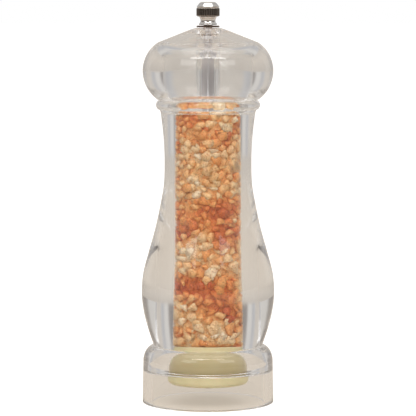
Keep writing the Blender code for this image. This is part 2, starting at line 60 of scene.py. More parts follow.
# ---------------------------------------------------------------- sizes shared with the CAD model
# Only the knurls' depth and the lower end of the thread differ from it, for the look.
HEIGHT = 203.2
GAP = 0.3                      # between pieces that would touch
# The body's outside: foot, shoulder, V-shaped neck above it, belly and waist, and the bead at the rim
FOOT_R, BASE_R, SHOULDER_Z, SHOULDER_SIZE = 33.4, 33.0, 21.2, (5.8, 7.9)
NECK_R, NECK_Z = 27.7, 29.3
RIM_Z, BEAD_R, BEAD_Z, BEAD_SIZE = 153.8, 26.3, 151.4, (1.9, 2.4)
BELLY_AND_WAIST = [
    (24.1, 148.4), (23.1, 141.0), (22.3, 132.0), (22.0, 122.0), (22.4, 111.0), (24.1, 101.0),
    (26.7, 89.0), (30.2, 76.5), (32.9, 66.0), (33.7, 56.0), (32.7, 46.5), (30.5, 37.7), (NECK_R, NECK_Z),
]
# Its inside: the hollow base, the grinder's counterbore, the salt chamber, and the mouth for the head
RECESS_R, RECESS_Z = 28.4, 16.9
SOCKET_R, SOCKET_Z = 20.2, 29.1
BORE_LOW_R, BORE_HIGH_R = 18.0, 16.6
MOUTH_R, MOUTH_Z = 19.8, 147.8

# The head: its bulb and cone, the hollow inside with the boss round the shaft, and the ring below
HEAD_Z, HEAD_TOP_Z, HEAD_R, HEAD_MID_Z = RIM_Z + GAP, 190.2, 33.0, 168.7
HEAD_LOW_ARC, HEAD_HIGH_ARC, CONE_R, CONE_TOP = 18.0, 17.0, 25.2, (9.3, 189.3)
CAVITY_R, CAVITY_Z, CAVITY_CORNER, CEILING_Z = 22.9, 172.5, 6.0, 183.5
BOSS_R, BOSS_Z, STUD_HOLE_R, BOSS_HOLE_Z = 5.8, 163.9, 2.75, 173.0
SPIGOT_R, SPIGOT_Z = 19.4, MOUTH_Z + 0.4
RING_R, RING_Z = CAVITY_R - GAP, 158.6

# The square shaft, and the turned and threaded stud at its top
SHAFT_SIDE, SHAFT_Z, STUD_R, STUD_Z = 4.76, (10.4, 178.0), 2.38, 199.4
SHAFT_CORNER_R = SHAFT_SIDE / math.sqrt(2)
SQUARE_HOLE = SHAFT_SIDE + 0.4
THREAD_PITCH, THREAD_DEPTH, THREAD_LOW_Z = 0.8, 0.3, 187.2
HEAD_SOCKET_TOP = SHAFT_Z[1] + 2.4

# The washer, and the knob with its knurled band, waist, foot and bore
WASHER_R, WASHER_Z = 5.8, (HEAD_TOP_Z + GAP, HEAD_TOP_Z + 1.2)
KNOB_Z, KNOB_R, BAND_Z, KNURLS, KNURL_DEPTH = WASHER_Z[1] + GAP, 5.85, (196.1, 200.3), 36, 0.4
KNOB_TOP_R, KNOB_FOOT_R = 3.9, 4.6
WAIST_R, WAIST_Z, WAIST_SIZE = 3.75, 193.9, (1.6, 1.9)
KNOB_BORE_R, KNOB_BORE_Z = STUD_R + 0.17, STUD_Z + 2.0

# The grinder, from the housing down to the screws
HOUSING_R, HOUSING_Z = 19.9, (16.9, 28.7)
SLEEVE_R, SLEEVE_Z = (16.2, 17.5), 32.0
SALT_Z = (HOUSING_Z[1] + 0.6, RIM_Z - 1.4)
SEAT_R, SEAT_Z, BRIDGE_Z = 16.9, 20.0, 26.1
BRIDGE_HUB_R, BRIDGE_BORE_R, WINDOW_R, SPOKE_WIDTH = 6.2, 3.75, 15.6, 4.0
COLLAR_R, COLLAR_Z, COLLAR_EDGE, LIP_R, LIP_Z = 20.5, (9.9, 16.6), 2.2, 15.6, 11.1
STATOR_R, STATOR_Z, STATOR_BORE = 16.6, (11.4, 19.7), (14.3, 11.6)
KEYS_AT, KEY_HEIGHT = (30.0, 150.0, 270.0), 0.9
KEY_SLOT_R, KEY_SLOT_HALF = (15.7, 18.1), 3.3
ROTOR_Z, ROTOR_R, TEETH, TOOTH_DEPTH, TOOTH_TWIST = (11.3, 19.5), (13.2, 8.3), 24, 0.6, 7.5
HUB_Z, HUB_FLANGE_R, HUB_FLANGE, HUB_HEX, CONE_HEX = (10.1, 19.7), 9.2, 0.9, 11.2, 11.8
SPRING_Z, SPRING_R, SPRING_WIRE, SPRING_TURNS = (20.0, 24.9), 4.5, 0.7, 3.5
THRUST_R, THRUST_Z = 5.4, (25.2, 25.8)
GRINDER_SCREW_CIRCLE, GRINDER_SCREWS_AT, GRINDER_SCREW_Z = 18.2, (90.0, 210.0, 330.0), 10.95
GRINDER_SCREW = dict(head_r=1.3, head=1.0, shank_r=0.75, length=10.0, pitch=0.7)
SCREW_POCKET_R = 1.45
ROTOR_WASHER_R, ROTOR_WASHER_Z = 4.6, (9.0, 9.8)
ROTOR_SCREW = dict(head_r=2.9, head=1.6, shank_r=1.3, length=9.0, pitch=0.8)

# ---------------------------------------------------------------- looks
MOULDED_ROUGHNESS = 0.10       # of the acrylic's inner faces, as they left the mould
RING_TOP_SHARE = 4.0           # how many times rougher the head ring's top is than the other inner faces
GRAIN = 4.7                    # a common size of the salt's crystals
GRAIN_SIZES = (0.9, 1.1, 1.25, 1.4, 1.6)
SALT_SHELLS = 4                # layers of crystals from the chamber's wall inwards
SALT_TINT, PALEST_TINT = 0.53, 0.93     # 0 is deep orange, 1 nearly white
PATCH_TINT, PATCH_SIZE = 0.38, 13.0     # how far the tint drifts from patch to patch, and their size
LAYER_WAVE, WAVE_SIZE = 4.0, 19.0       # how far the layers dip and rise, and over what distance
SALT_LAYERS = [                # height, and how much paler (+) or deeper (-) the salt is there
    (33.0, -0.08), (40.0, 0.14), (46.0, 0.08), (57.0, -0.18), (73.0, 0.15), (83.0, -0.24), (98.0, -0.14),
    (109.0, 0.03), (121.0, 0.13), (133.0, -0.02), (138.0, 0.08), (145.0, -0.12), (152.0, 0.06),
]

WHITE = (1.0, 1.0, 1.0)
WALL_COLOR = (0.585, 0.54, 0.49)        # the soft beige surroundings that the acrylic bends into view
SIDE_COLOR = (0.63, 0.61, 0.585)
DARK_COLOR = (0.01, 0.01, 0.01)         # the camera and what stands behind it
FLOOR_NEAR_SHADOWED = (0.385, 0.348, 0.303)      # the floor's glow by the mill, dimmer and warmer as a painted shadow
FLOOR_FAR = (0.39, 0.366, 0.338)        # and far off
FLOOR_SIDE, FLOOR_DROP = 30.0, 0.0002   # metres: half its width, and how far it lies under the foot
LIGHT_BOUNCES, CLEAR_BOUNCES = 48, 24   # light bounces many times inside thick acrylic
CAMERA_AT, CAMERA_TILT, CAMERA_LENS = (0, -1.2, 0.2), 4.808, 205.3
AIM = (0, 0, 0.1)                       # metres: the point that the softboxes light


# ---------------------------------------------------------------- outlines
def arc(centre, radii, start, end, steps):
    """Points of an ellipse's arc, from one angle to another."""
    points = []
    for i in range(steps + 1):
        angle = math.radians(start + (end - start) * i / steps)
        points.append((centre[0] + radii[0] * math.cos(angle), centre[1] + radii[1] * math.sin(angle)))
    return points


def smooth(knots, steps):
    """A Catmull-Rom curve through the knots, as in the CAD source but with finer steps."""
    padded = [knots[0], *knots, knots[-1]]
    points = []
    for before, start, end, after in zip(padded, padded[1:], padded[2:], padded[3:]):
        for i in range(steps):
            t = i / steps
            points.append(tuple(
                0.5 * (2 * b + (c - a) * t + (2 * a - 5 * b + 4 * c - d) * t**2)
                + 0.5 * (3 * b - a - 3 * c + d) * t**3
                for a, b, c, d in zip(before, start, end, after)
            ))
    return [*points, knots[-1]]


def corner(r, z, size=0.3):
    """A corner of an outline that rounded() turns into a small arc."""
    return r, z, size


def rounded(outline, closed=True, steps=4):
    """Rounds the outline's marked corners, and splits its long straights so that shading stays flat."""
    short, end_spots, span, most_share = 1.2, (0.15, 0.5), 5, 0.45
    count = len(outline)
    points = []
    for i, point in enumerate(outline):
        if len(point) == 2:
            points.append(point)
            continue
        here = Vector(point[:2])
        before, after = Vector(outline[i - 1][:2]), Vector(outline[(i + 1) % count][:2])
        start = here + (before - here).normalized() * min(point[2], (before - here).length * most_share)
        end = here + (after - here).normalized() * min(point[2], (after - here).length * most_share)
        for k in range(steps + 1):
            t = k / steps
            points.append(tuple(start * (1 - t)**2 + here * 2 * t * (1 - t) + end * t**2))
    split = []
    pairs = list(zip(points, points[1:] + points[:1])) if closed else list(zip(points, points[1:]))
    for start, end in pairs:
        split.append(start)
        length = math.dist(start, end)
        if length < short:
            continue
        inner = [spot / length for spot in end_spots]
        spans = max(1, round(length / span))
        middle = [k / spans for k in range(1, spans)]
        shares = inner + middle + [1 - share for share in reversed(inner)]
        for share in sorted(shares):
            split.append(tuple(a + (b - a) * share for a, b in zip(start, end)))
    return split if closed else [*split, points[-1]]


# ---------------------------------------------------------------- meshes
def at(radius, angle):
    """The x and y of a point at a radius and an angle in degrees."""
    return radius * math.cos(math.radians(angle)), radius * math.sin(math.radians(angle))


def plain(radius):
    return lambda angle: radius


def flats(across, sides, round_by=0.0):
    """The radius of a regular polygon with a corner at angle 0, cut off near its corners."""
    sector = 360.0 / sides
    most = across / 2 / math.cos(math.radians(sector / 2)) - round_by

    def radius_at(angle):
        return min(most, across / 2 / math.cos(math.radians(sector / 2 - angle % sector)))

    return radius_at


def loft(name, rings, steps, closed=True):
    """A solid of rings round the Z axis: (radius, or radius of an angle; height; twist in degrees)."""
    points = []
    loops = []
    for ring in rings:
        radius, height, twist = (*ring, 0.0)[:3]
        if radius == 0:
            loops.append([len(points)] * steps)
            points.append((0.0, 0.0, height * MM))
            continue
        radius_at = radius if callable(radius) else plain(radius)
        loops.append(list(range(len(points), len(points) + steps)))
        for i in range(steps):
            angle = 360.0 * i / steps
            x, y = at(radius_at(angle), angle + twist)
            points.append((x * MM, y * MM, height * MM))
    faces = []
    pairs = zip(loops, loops[1:] + loops[:1]) if closed else zip(loops, loops[1:])
    for upper, lower in pairs:
        for i in range(steps):
            j = (i + 1) % steps
            face = [upper[i], lower[i], lower[j], upper[j]]
            faces.append(list(dict.fromkeys(face)))
    faces = [face for face in faces if len(face) > 2]
    mesh = bpy.data.meshes.new(name)
    mesh.from_pydata(points, [], faces)
    return finished(name, mesh)


def finished(name, mesh):
    """An object of the mesh, facing outwards, smooth except at sharp edges."""
    shape = bmesh.new()
    shape.from_mesh(mesh)
    bmesh.ops.recalc_face_normals(shape, faces=shape.faces)
    shape.to_mesh(mesh)
    shape.free()
    mesh.shade_smooth()
    mesh.set_sharp_from_angle(angle=math.radians(SHARP_ANGLE))
    obj = bpy.data.objects.new(name, mesh)
    bpy.context.scene.collection.objects.link(obj)
    return obj


def prism(name, outline, low, high):
    """A cutter: a flat outline of (x, y), raised from low to high."""
    count = len(outline)
    points = [(x * MM, y * MM, z * MM) for z in (low, high) for x, y in outline]
    faces = [list(range(count))[::-1], list(range(count, 2 * count))]
    faces += [[i, (i + 1) % count, count + (i + 1) % count, count + i] for i in range(count)]
    mesh = bpy.data.meshes.new(name)
    mesh.from_pydata(points, [], faces)
    return finished(name, mesh)


def cut(obj, *cutters):
    """Cuts the cutters out of obj for good, and removes them."""
    for cutter in cutters:
        boolean = obj.modifiers.new("Cut", "BOOLEAN")
        boolean.operation = "DIFFERENCE"
        boolean.solver = "EXACT"
        boolean.object = cutter
    bpy.context.view_layer.update()
    evaluated = obj.evaluated_get(bpy.context.evaluated_depsgraph_get())
    obj.data = bpy.data.meshes.new_from_object(evaluated)
    obj.modifiers.clear()
    obj.data.set_sharp_from_angle(angle=math.radians(SHARP_ANGLE))
    for cutter in cutters:
        bpy.data.objects.remove(cutter)
    return obj


def marked(obj, name, value_at):
    """Stores a number at each vertex, worked out from its place in millimetres."""
    stored = obj.data.attributes.new(name, "FLOAT", "POINT")
    stored.data.foreach_set("value", [value_at(vertex.co / MM) for vertex in obj.data.vertices])
    return obj


def place(obj, material, body, slot, *nodes):
    """Gives a piece its material and body, and hides the CAD nodes that it stands for. Its slot is not
    used.
    """
    obj.data.materials.clear()
    obj.data.materials.append(material)
    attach(obj, body)
    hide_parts(*nodes)
    return obj


# ---------------------------------------------------------------- materials
def new_material(name, **sockets):
    """A Principled material whose plain values are set on its own sockets."""
    material = bpy.data.materials.new(name)
    material.use_nodes = True
    shader = material.node_tree.nodes["Principled BSDF"]
    for socket, value in sockets.items():
        shader.inputs[socket.replace("_", " ")].default_value = value
    return material, material.node_tree, shader


def noise(tree, scale, stretch=(1, 1, 1), detail=4.0, roughness=0.5):
    """Noise in the object's own space, at scale features to a millimetre."""
    spot = tree.nodes.new("ShaderNodeTexCoord")
    mapping = tree.nodes.new("ShaderNodeMapping")
    mapping.inputs["Scale"].default_value = [1000 * scale * share for share in stretch]
    texture = tree.nodes.new("ShaderNodeTexNoise")
    texture.inputs["Scale"].default_value = 1.0
    texture.inputs["Detail"].default_value = detail
    texture.inputs["Roughness"].default_value = roughness
    tree.links.new(spot.outputs["Object"], mapping.inputs["Vector"])
    tree.links.new(mapping.outputs["Vector"], texture.inputs["Vector"])
    return texture.outputs["Fac"]


def ranged(tree, value, low, high, to_low, to_high):
    """A value of low to high turned into one of to_low to to_high."""
    mapped = tree.nodes.new("ShaderNodeMapRange")
    tree.links.new(value, mapped.inputs["Value"])
    for socket, number in (("From Min", low), ("From Max", high), ("To Min", to_low), ("To Max", to_high)):
        mapped.inputs[socket].default_value = number
    return mapped.outputs["Result"]


def ramp(tree, value, stops):
    """A colour ramp of (position, colour) stops."""
    node = tree.nodes.new("ShaderNodeValToRGB")
    elements = node.color_ramp.elements
    elements[0].position, elements[0].color = stops[0][0], (*stops[0][1], 1)
    elements[1].position, elements[1].color = stops[-1][0], (*stops[-1][1], 1)
    for position, color in stops[1:-1]:
        elements.new(position).color = (*color, 1)
    tree.links.new(value, node.inputs["Fac"])
    return node.outputs["Color"]


def mixed(tree, share, first, second, mode="MIX"):
    """A mix of two colours, each a socket or a plain one. The indices are a Mix node's colour sockets."""
    node = tree.nodes.new("ShaderNodeMix")
    node.data_type, node.blend_type = "RGBA", mode
    for socket, value in ((node.inputs[0], share), (node.inputs[6], first), (node.inputs[7], second)):
        if isinstance(value, bpy.types.NodeSocket):
            tree.links.new(value, socket)
        else:
            socket.default_value = value if isinstance(value, float) else (*value, 1)
    return node.outputs[2]


def calculated(tree, operation, *values):
    """A Math node's result, from sockets and plain numbers."""
    node = tree.nodes.new("ShaderNodeMath")
    node.operation = operation
    for socket, value in zip(node.inputs, values):
        if isinstance(value, bpy.types.NodeSocket):
            tree.links.new(value, socket)
        else:
            socket.default_value = value
    return node.outputs[0]


def attribute(tree, name):
    """The number of that name which the mesh stores at each vertex."""
    node = tree.nodes.new("ShaderNodeAttribute")
    node.attribute_name = name
    return node.outputs["Fac"]


def light_path(tree, output):
    return tree.nodes.new("ShaderNodeLightPath").outputs[output]


def relief(tree, shader, height, distance):
    """Bump of a height that runs from 0 to 1, distance millimetres deep."""
    bump = tree.nodes.new("ShaderNodeBump")
    bump.inputs["Distance"].default_value = distance * MM
    tree.links.new(height, bump.inputs["Height"])
    tree.links.new(bump.outputs["Normal"], shader.inputs["Normal"])


def acrylic_material():
    """Clear acrylic, polished outside and softer where it was moulded.

    Light that falls on what is inside passes straight through.
    """
    material, tree, shader = new_material(
        "clear_acrylic", Transmission_Weight=1.0, IOR=1.49, Specular_IOR_Level=0.5
    )
    tint = ramp(tree, noise(tree, 0.03), [(0.3, (0.988, 0.985, 0.978)), (0.7, (0.998, 0.998, 0.996))])
    tree.links.new(tint, shader.inputs["Base Color"])
    smudges = ranged(tree, noise(tree, 0.12, detail=6.0), 0.45, 0.75, 0.0, 0.035)
    roughness = calculated(tree, "MULTIPLY_ADD", attribute(tree, "moulded"), MOULDED_ROUGHNESS, smudges)
    tree.links.new(roughness, shader.inputs["Roughness"])
    relief(tree, shader, noise(tree, 0.06, detail=1.0), 0.02)
    shadow, diffuse = light_path(tree, "Is Shadow Ray"), light_path(tree, "Is Diffuse Ray")
    clear = tree.nodes.new("ShaderNodeBsdfTransparent")
    mix = tree.nodes.new("ShaderNodeMixShader")
    tree.links.new(calculated(tree, "MAXIMUM", shadow, diffuse), mix.inputs[0])
    tree.links.new(shader.outputs[0], mix.inputs[1])
    tree.links.new(clear.outputs[0], mix.inputs[2])
    tree.links.new(mix.outputs[0], tree.nodes["Material Output"].inputs["Surface"])
    return material


def salt_material():
    """Pink rock salt: each crystal its own tint, with cloudy veins and broken faces."""
    material, tree, shader = new_material(
        "pink_rock_salt", IOR=1.54, Specular_IOR_Level=0.35, Subsurface_Weight=0.45, Subsurface_Scale=0.0018
    )
    shader.inputs["Subsurface Radius"].default_value = (0.8, 0.8, 0.7)
    color = ramp(tree, attribute(tree, "tint"), [
        (0.00, (0.55, 0.11, 0.03)), (0.25, (0.77, 0.235, 0.06)), (0.45, (0.90, 0.40, 0.13)),
        (0.62, (0.94, 0.57, 0.27)), (0.80, (0.95, 0.70, 0.43)), (1.00, (0.96, 0.83, 0.64)),
    ])
    veins = ramp(tree, noise(tree, 0.5, detail=5.0, roughness=0.62), [
        (0.32, (0.86, 0.62, 0.48)), (0.50, (1.0, 0.98, 0.95)), (0.72, WHITE)
    ])
    grit = ramp(tree, noise(tree, 1.3, detail=2.0, roughness=0.7), [
        (0.32, (0.40, 0.22, 0.11)), (0.46, (0.90, 0.83, 0.76)), (0.60, WHITE)
    ])
    cloudy = mixed(tree, 0.6, color, veins, "MULTIPLY")
    tree.links.new(mixed(tree, 0.7, cloudy, grit, "MULTIPLY"), shader.inputs["Base Color"])
    tree.links.new(ranged(tree, noise(tree, 1.5), 0.3, 0.7, 0.25, 0.6), shader.inputs["Roughness"])
    relief(tree, shader, noise(tree, 0.9, detail=5.0, roughness=0.65), 0.45)
    return material


def metal_material(name, color, dark, roughness, stretch, scratch=0.01, painted_band_shade=False):
    """Bare or plated metal with fine marks stretched along its machining, and painted shade on the knob's
    knurled band if asked.
    """
    material, tree, shader = new_material(name, Metallic=1.0)
    stains = ramp(tree, noise(tree, 0.25, detail=6.0), [(0.3, dark), (0.62, color)])
    if painted_band_shade:
        # painted shade: the knob's band is darkened in colour where its chrome would show dark reflections
        stains = mixed(tree, attribute(tree, "painted_band_shade"), stains, (0.17, 0.135, 0.11))
    tree.links.new(stains, shader.inputs["Base Color"])
    marks = noise(tree, 4.0, stretch, detail=3.0)
    tree.links.new(ranged(tree, marks, 0.3, 0.7, *roughness), shader.inputs["Roughness"])
    relief(tree, shader, marks, scratch)
    return material


def plastic_material(name, dark, light, painted_foot_shade=None):
    """Moulded plastic, faintly mottled and finely textured, with painted shade that may darken it towards
    its foot.
    """
    material, tree, shader = new_material(name, IOR=1.5, Subsurface_Weight=0.12, Subsurface_Scale=0.002)
    color = ramp(tree, noise(tree, 0.15, detail=6.0), [(0.3, dark), (0.7, light)])
    if painted_foot_shade:
        color = mixed(tree, attribute(tree, "painted_foot_shade"), color, painted_foot_shade)
    tree.links.new(color, shader.inputs["Base Color"])
    tree.links.new(ranged(tree, noise(tree, 2.0), 0.3, 0.7, 0.36, 0.5), shader.inputs["Roughness"])
    relief(tree, shader, noise(tree, 6.0, detail=3.0), 0.02)
    return material


def ceramic_material():
    """Fired ceramic, off-white with fine grey specks and a satin surface."""
    material, tree, shader = new_material("burr_ceramic", IOR=1.6)
    specks = ramp(tree, noise(tree, 5.0, detail=2.0), [
        (0.28, (0.42, 0.38, 0.33)), (0.36, (0.80, 0.77, 0.69))
    ])
    tree.links.new(specks, shader.inputs["Base Color"])
    tree.links.new(ranged(tree, noise(tree, 1.5), 0.3, 0.7, 0.28, 0.45), shader.inputs["Roughness"])
    relief(tree, shader, noise(tree, 3.0, detail=5.0), 0.03)
    return material


# ---------------------------------------------------------------- clear pieces
def body_outline():
    outside = arc((BEAD_R - BEAD_SIZE[0], BEAD_Z), BEAD_SIZE, 90, -84, 20)
    outside += smooth(BELLY_AND_WAIST, 9)[1:-1]
    outside.append(corner(NECK_R, NECK_Z, 0.35))
    outside += arc((BASE_R - SHOULDER_SIZE[0], SHOULDER_Z), SHOULDER_SIZE, 80, 0, 18)
    outside += [corner(FOOT_R, 0.0, 0.5)]
    inside = [corner(RECESS_R + 0.5, 0.0, 0.5), corner(RECESS_R, RECESS_Z, 1.0)]
    inside += [corner(SOCKET_R, RECESS_Z, 0.35), corner(SOCKET_R, SOCKET_Z, 0.25)]
    inside += [corner(BORE_LOW_R, SOCKET_Z, 0.2), corner(BORE_HIGH_R, MOUTH_Z, 0.2)]
    inside += [corner(MOUTH_R, MOUTH_Z, 0.3), corner(MOUTH_R, RIM_Z, 0.5)]
    return outside + inside


def head_rings():
    """The head's outline, then its square socket and the round hole above it."""
    high_centre = (HEAD_R - HEAD_HIGH_ARC, HEAD_MID_Z)
    low_centre = (HEAD_R - HEAD_LOW_ARC, HEAD_MID_Z)
    cone_angle = math.degrees(math.acos((CONE_R - high_centre[0]) / HEAD_HIGH_ARC))
    foot_angle = math.degrees(math.asin((HEAD_MID_Z - HEAD_Z) / HEAD_LOW_ARC))
    outside = [(STUD_HOLE_R + 0.3, HEAD_TOP_Z), corner(WASHER_R + 0.5, HEAD_TOP_Z, 0.6)]
    outside += [corner(*CONE_TOP, 3.0)]
    outside += arc(high_centre, (HEAD_HIGH_ARC, HEAD_HIGH_ARC), cone_angle, 0, 24)
    outside += arc(low_centre, (HEAD_LOW_ARC, HEAD_LOW_ARC), 0, -foot_angle + 1, 24)[1:]
    foot_r = low_centre[0] + HEAD_LOW_ARC * math.cos(math.radians(foot_angle))
    outside.append(corner(foot_r, HEAD_Z, 0.3))
    inside = [corner(CAVITY_R, HEAD_Z, 0.3)]
    inside += arc((CAVITY_R - CAVITY_CORNER, CAVITY_Z), (CAVITY_CORNER, CAVITY_CORNER), 0, 70, 10)
    inside += [corner(BOSS_R + 0.2, CEILING_Z, 3.0), corner(BOSS_R, BOSS_Z, 1.2)]
    hole_r = SQUARE_HOLE / math.sqrt(2) + 0.1
    inside += [corner(hole_r, BOSS_Z, 0.6), (hole_r, BOSS_HOLE_Z)]
    outline = rounded(outside + inside, closed=False)
    square = flats(SQUARE_HOLE, 4, 0.15)
    rings = outline + [(square, BOSS_HOLE_Z + 0.2)]
    height, step = BOSS_HOLE_Z, 2.0
    while height < HEAD_SOCKET_TOP - step:
        height += step
        rings.append((square, height))
    rings.append((square, HEAD_SOCKET_TOP))
    for height in (HEAD_SOCKET_TOP, HEAD_SOCKET_TOP + 0.3, HEAD_TOP_Z - 2.0, HEAD_TOP_Z - 0.3):
        rings.append((STUD_HOLE_R, height))
    return rings


def head_ring_outline():
    bore, underside = BORE_HIGH_R, HEAD_Z + 0.2
    return [
        corner(RING_R, RING_Z, 0.9), corner(RING_R, underside), corner(SPIGOT_R, underside, 0.2),
        corner(SPIGOT_R, SPIGOT_Z, 0.5), corner(bore, SPIGOT_Z, 0.3), corner(bore, RING_Z, 0.4),
    ]


def moulded_in_body(point):
    """1 in the body's socket, bore and mouth, and 0 on its polished outside."""
    return float(math.hypot(point.x, point.y) < SOCKET_R + 0.1 and point.z > RECESS_Z + 0.1)


def moulded_in_head(point):
    """1 in the head's hollow and under its rim, and 0 on its polished outside."""
    hollow = math.hypot(point.x, point.y) < CAVITY_R + 0.1 and point.z < CEILING_Z + 0.1
    return float(point.z < HEAD_Z + 0.05 or hollow)


def moulded_in_ring(point):
    return RING_TOP_SHARE if point.z > RING_Z - 0.05 else 1.0


def make_clear_pieces():
    acrylic = acrylic_material()
    body = loft("body_acrylic", rounded(body_outline()), STEPS)
    marked(body, "moulded", moulded_in_body)
    place(body, acrylic, "body", "clear_acrylic", "body")
    head = loft("head_acrylic", head_rings(), STEPS)
    marked(head, "moulded", moulded_in_head)
    place(head, acrylic, "head", "clear_acrylic", "head")
    ring = loft("head_ring_acrylic", rounded(head_ring_outline()), STEPS)
    marked(ring, "moulded", moulded_in_ring)
    place(ring, acrylic, "head", "clear_acrylic", "head_ring")


# ---------------------------------------------------------------- salt
def crystal(centre, size, rng):
    """A convex broken grain: the hull of points scattered on a squeezed ball."""
    squeeze = Vector((rng.uniform(0.75, 1.1), rng.uniform(0.75, 1.1), rng.uniform(0.75, 1.1)))
    turn = Matrix.Rotation(rng.uniform(0, math.tau), 3, Vector((rng.gauss(0, 1), rng.gauss(0, 1), 1)))
    grain = bmesh.new()
    for _ in range(rng.randint(10, 15)):
        way = Vector((rng.gauss(0, 1), rng.gauss(0, 1), rng.gauss(0, 1))).normalized()
        grain.verts.new(centre + turn @ (way * size / 2 * rng.uniform(0.88, 1.08) * squeeze))
    bmesh.ops.convex_hull(grain, input=grain.verts)
    grain.verts.index_update()
    points = [tuple(vertex.co) for vertex in grain.verts]
    faces = [[vertex.index for vertex in face.verts] for face in grain.faces]
    grain.free()
    return points, faces


def wall_radius(height):
    """How far out the salt may reach: to the sleeve of the grinder's housing, and above it to the bore."""
    if height < SLEEVE_Z + 0.2:
        return SLEEVE_R[0] - 0.25
    share = min(1.0, (height - SOCKET_Z) / (MOUTH_Z - SOCKET_Z))
    return BORE_LOW_R + (BORE_HIGH_R - BORE_LOW_R) * share - 0.2


def packed(point):
    """Keeps a crystal's corner off the chamber's wall, the shaft and the two ends."""
    x, y, height = point
    height = max(SALT_Z[0], min(SALT_Z[1], height))
    reach = math.hypot(x, y)
    share = max(SHAFT_CORNER_R + 0.45, min(wall_radius(height), reach)) / reach
    return x * share, y * share, height


def layer_at(height):
    """How much paler or deeper the salt is at one height, as it was poured."""
    for (low, first), (high, second) in zip(SALT_LAYERS, SALT_LAYERS[1:]):
        if height < high:
            share = max(0.0, (height - low) / (high - low))
            return first + (second - first) * share
    return SALT_LAYERS[-1][1]


def tint_at(x, y, height):
    """The salt's colour drifts from patch to patch and from layer to layer."""
    spot = Vector((x, y, height))
    wave = LAYER_WAVE * perlin(spot / WAVE_SIZE + Vector((7.0, 3.0, 1.0)))
    return SALT_TINT + PATCH_TINT * perlin(spot / PATCH_SIZE) + layer_at(height + wave)


def painted_crevice_shade(point):
    """Painted shade between the crystals: how much deeper the colour is made away from the chamber's wall,
    and a little paler at the wall itself.
    """
    x, y, height = point
    least, span, full_depth = -0.07, 0.3, 1.6
    return span * max(0.0, min(1.0, (wall_radius(height) - math.hypot(x, y)) / full_depth)) + least


def fine_salt():
    """The small stuff between the crystals, as one bumpy ring round the shaft."""
    low, high = SALT_Z[0] + 0.2, SALT_Z[1] - 1.2
    rows, steps = 110, 120
    inner, below_crystals, bump_size = SHAFT_CORNER_R + 1.0, 1.2, 1.6
    points, tints = [], []
    rings = [(inner, low)]
    rings += [(None, low + (high - low) * i / rows) for i in range(rows + 1)]
    rings += [(12.0, high), (8.0, high), (inner, high)]
    for radius, height in rings:
        for i in range(steps):
            angle = 360.0 * i / steps
            x, y = at(radius or wall_radius(height) - below_crystals, angle)
            bump = perlin(Vector((x, y, height)) / bump_size)
            share = 1 + 0.55 * bump / math.hypot(x, y) if radius is None else 1.0
            rise = 0.5 * bump if radius not in (None, inner) else 0.0       # a bumpy top
            points.append((x * share * MM, y * share * MM, (height + rise) * MM))
            # painted shade: the fine salt, behind the crystals, is made a deeper colour overall and most in
            # its dips
            tints.append(min(1.0, max(0.0, tint_at(x, y, height) + 0.2 * bump - 0.06)))
    faces = []
    for k in range(len(rings)):
        first, second = k * steps, (k + 1) % len(rings) * steps
        for i in range(steps):
            j = (i + 1) % steps
            faces.append([first + i, first + j, second + j, second + i])
    return points, faces, tints


def make_salt():
    """Crystals pressed to the chamber's wall and heaped at the top, with finer salt between them.

    The two outer shells fill the chamber's whole height, and the inner ones only its open top.
    """
    rng = random.Random(RANDOM_SEED)
    points, faces, tints = fine_salt()
    for shell in range(SALT_SHELLS):
        height = SALT_Z[0] + GRAIN * 0.35 if shell < 2 else SALT_Z[1] - GRAIN * 1.2
        row = 0
        while height < SALT_Z[1] - GRAIN * 0.2:
            radius = wall_radius(height) - GRAIN * (0.3 + 0.8 * shell)
            count = int(math.tau * radius / (GRAIN * 0.92))
            for i in range(count):
                size = GRAIN * rng.choice(GRAIN_SIZES)
                x, y = at(radius, 360.0 * (i + 0.5 * (row % 2) + rng.uniform(-0.25, 0.25)) / count)
                centre = Vector((x, y, height + rng.uniform(-0.25, 0.25) * GRAIN))
                share = tint_at(x, y, height) + rng.gauss(0.0, 0.15)
                corners, sides = crystal(centre, size, rng)
                faces += [[len(points) + k for k in side] for side in sides]
                corners = [packed(point) for point in corners]
                points += [tuple(length * MM for length in point) for point in corners]
                # painted shade: crystal corners away from the wall get a deeper colour
                tints += [min(PALEST_TINT, max(0.0, share - painted_crevice_shade(point))) for point in corners]
            height += GRAIN * 0.7
            row += 1
    mesh = bpy.data.meshes.new("salt_crystals")
    mesh.from_pydata(points, [], faces)
    mesh.shade_smooth()
    mesh.attributes.new("tint", "FLOAT", "POINT").data.foreach_set("value", tints)
    salt = bpy.data.objects.new("salt_crystals", mesh)
    bpy.context.scene.collection.objects.link(salt)
    place(salt, salt_material(), "body", "rock_salt", "salt_fill")


# ---------------------------------------------------------------- metal pieces
def knurled(angle):
    """The radius of the knob's band, with narrow ribs and broader grooves."""
    return KNOB_R - KNURL_DEPTH * (0.5 - 0.5 * math.cos(math.radians(angle * KNURLS)))**0.7


def painted_band_shade_at(point):
    """How much painted shade darkens the knob's band: fully in its grooves, less on its ribs, and not at
    all beyond it.
    """
    least = 0.6
    depth = (KNOB_R - math.hypot(point.x, point.y)) / KNURL_DEPTH
    return max(least, min(1.0, depth)) * (BAND_Z[0] - 0.05 < point.z < BAND_Z[1] + 0.05)


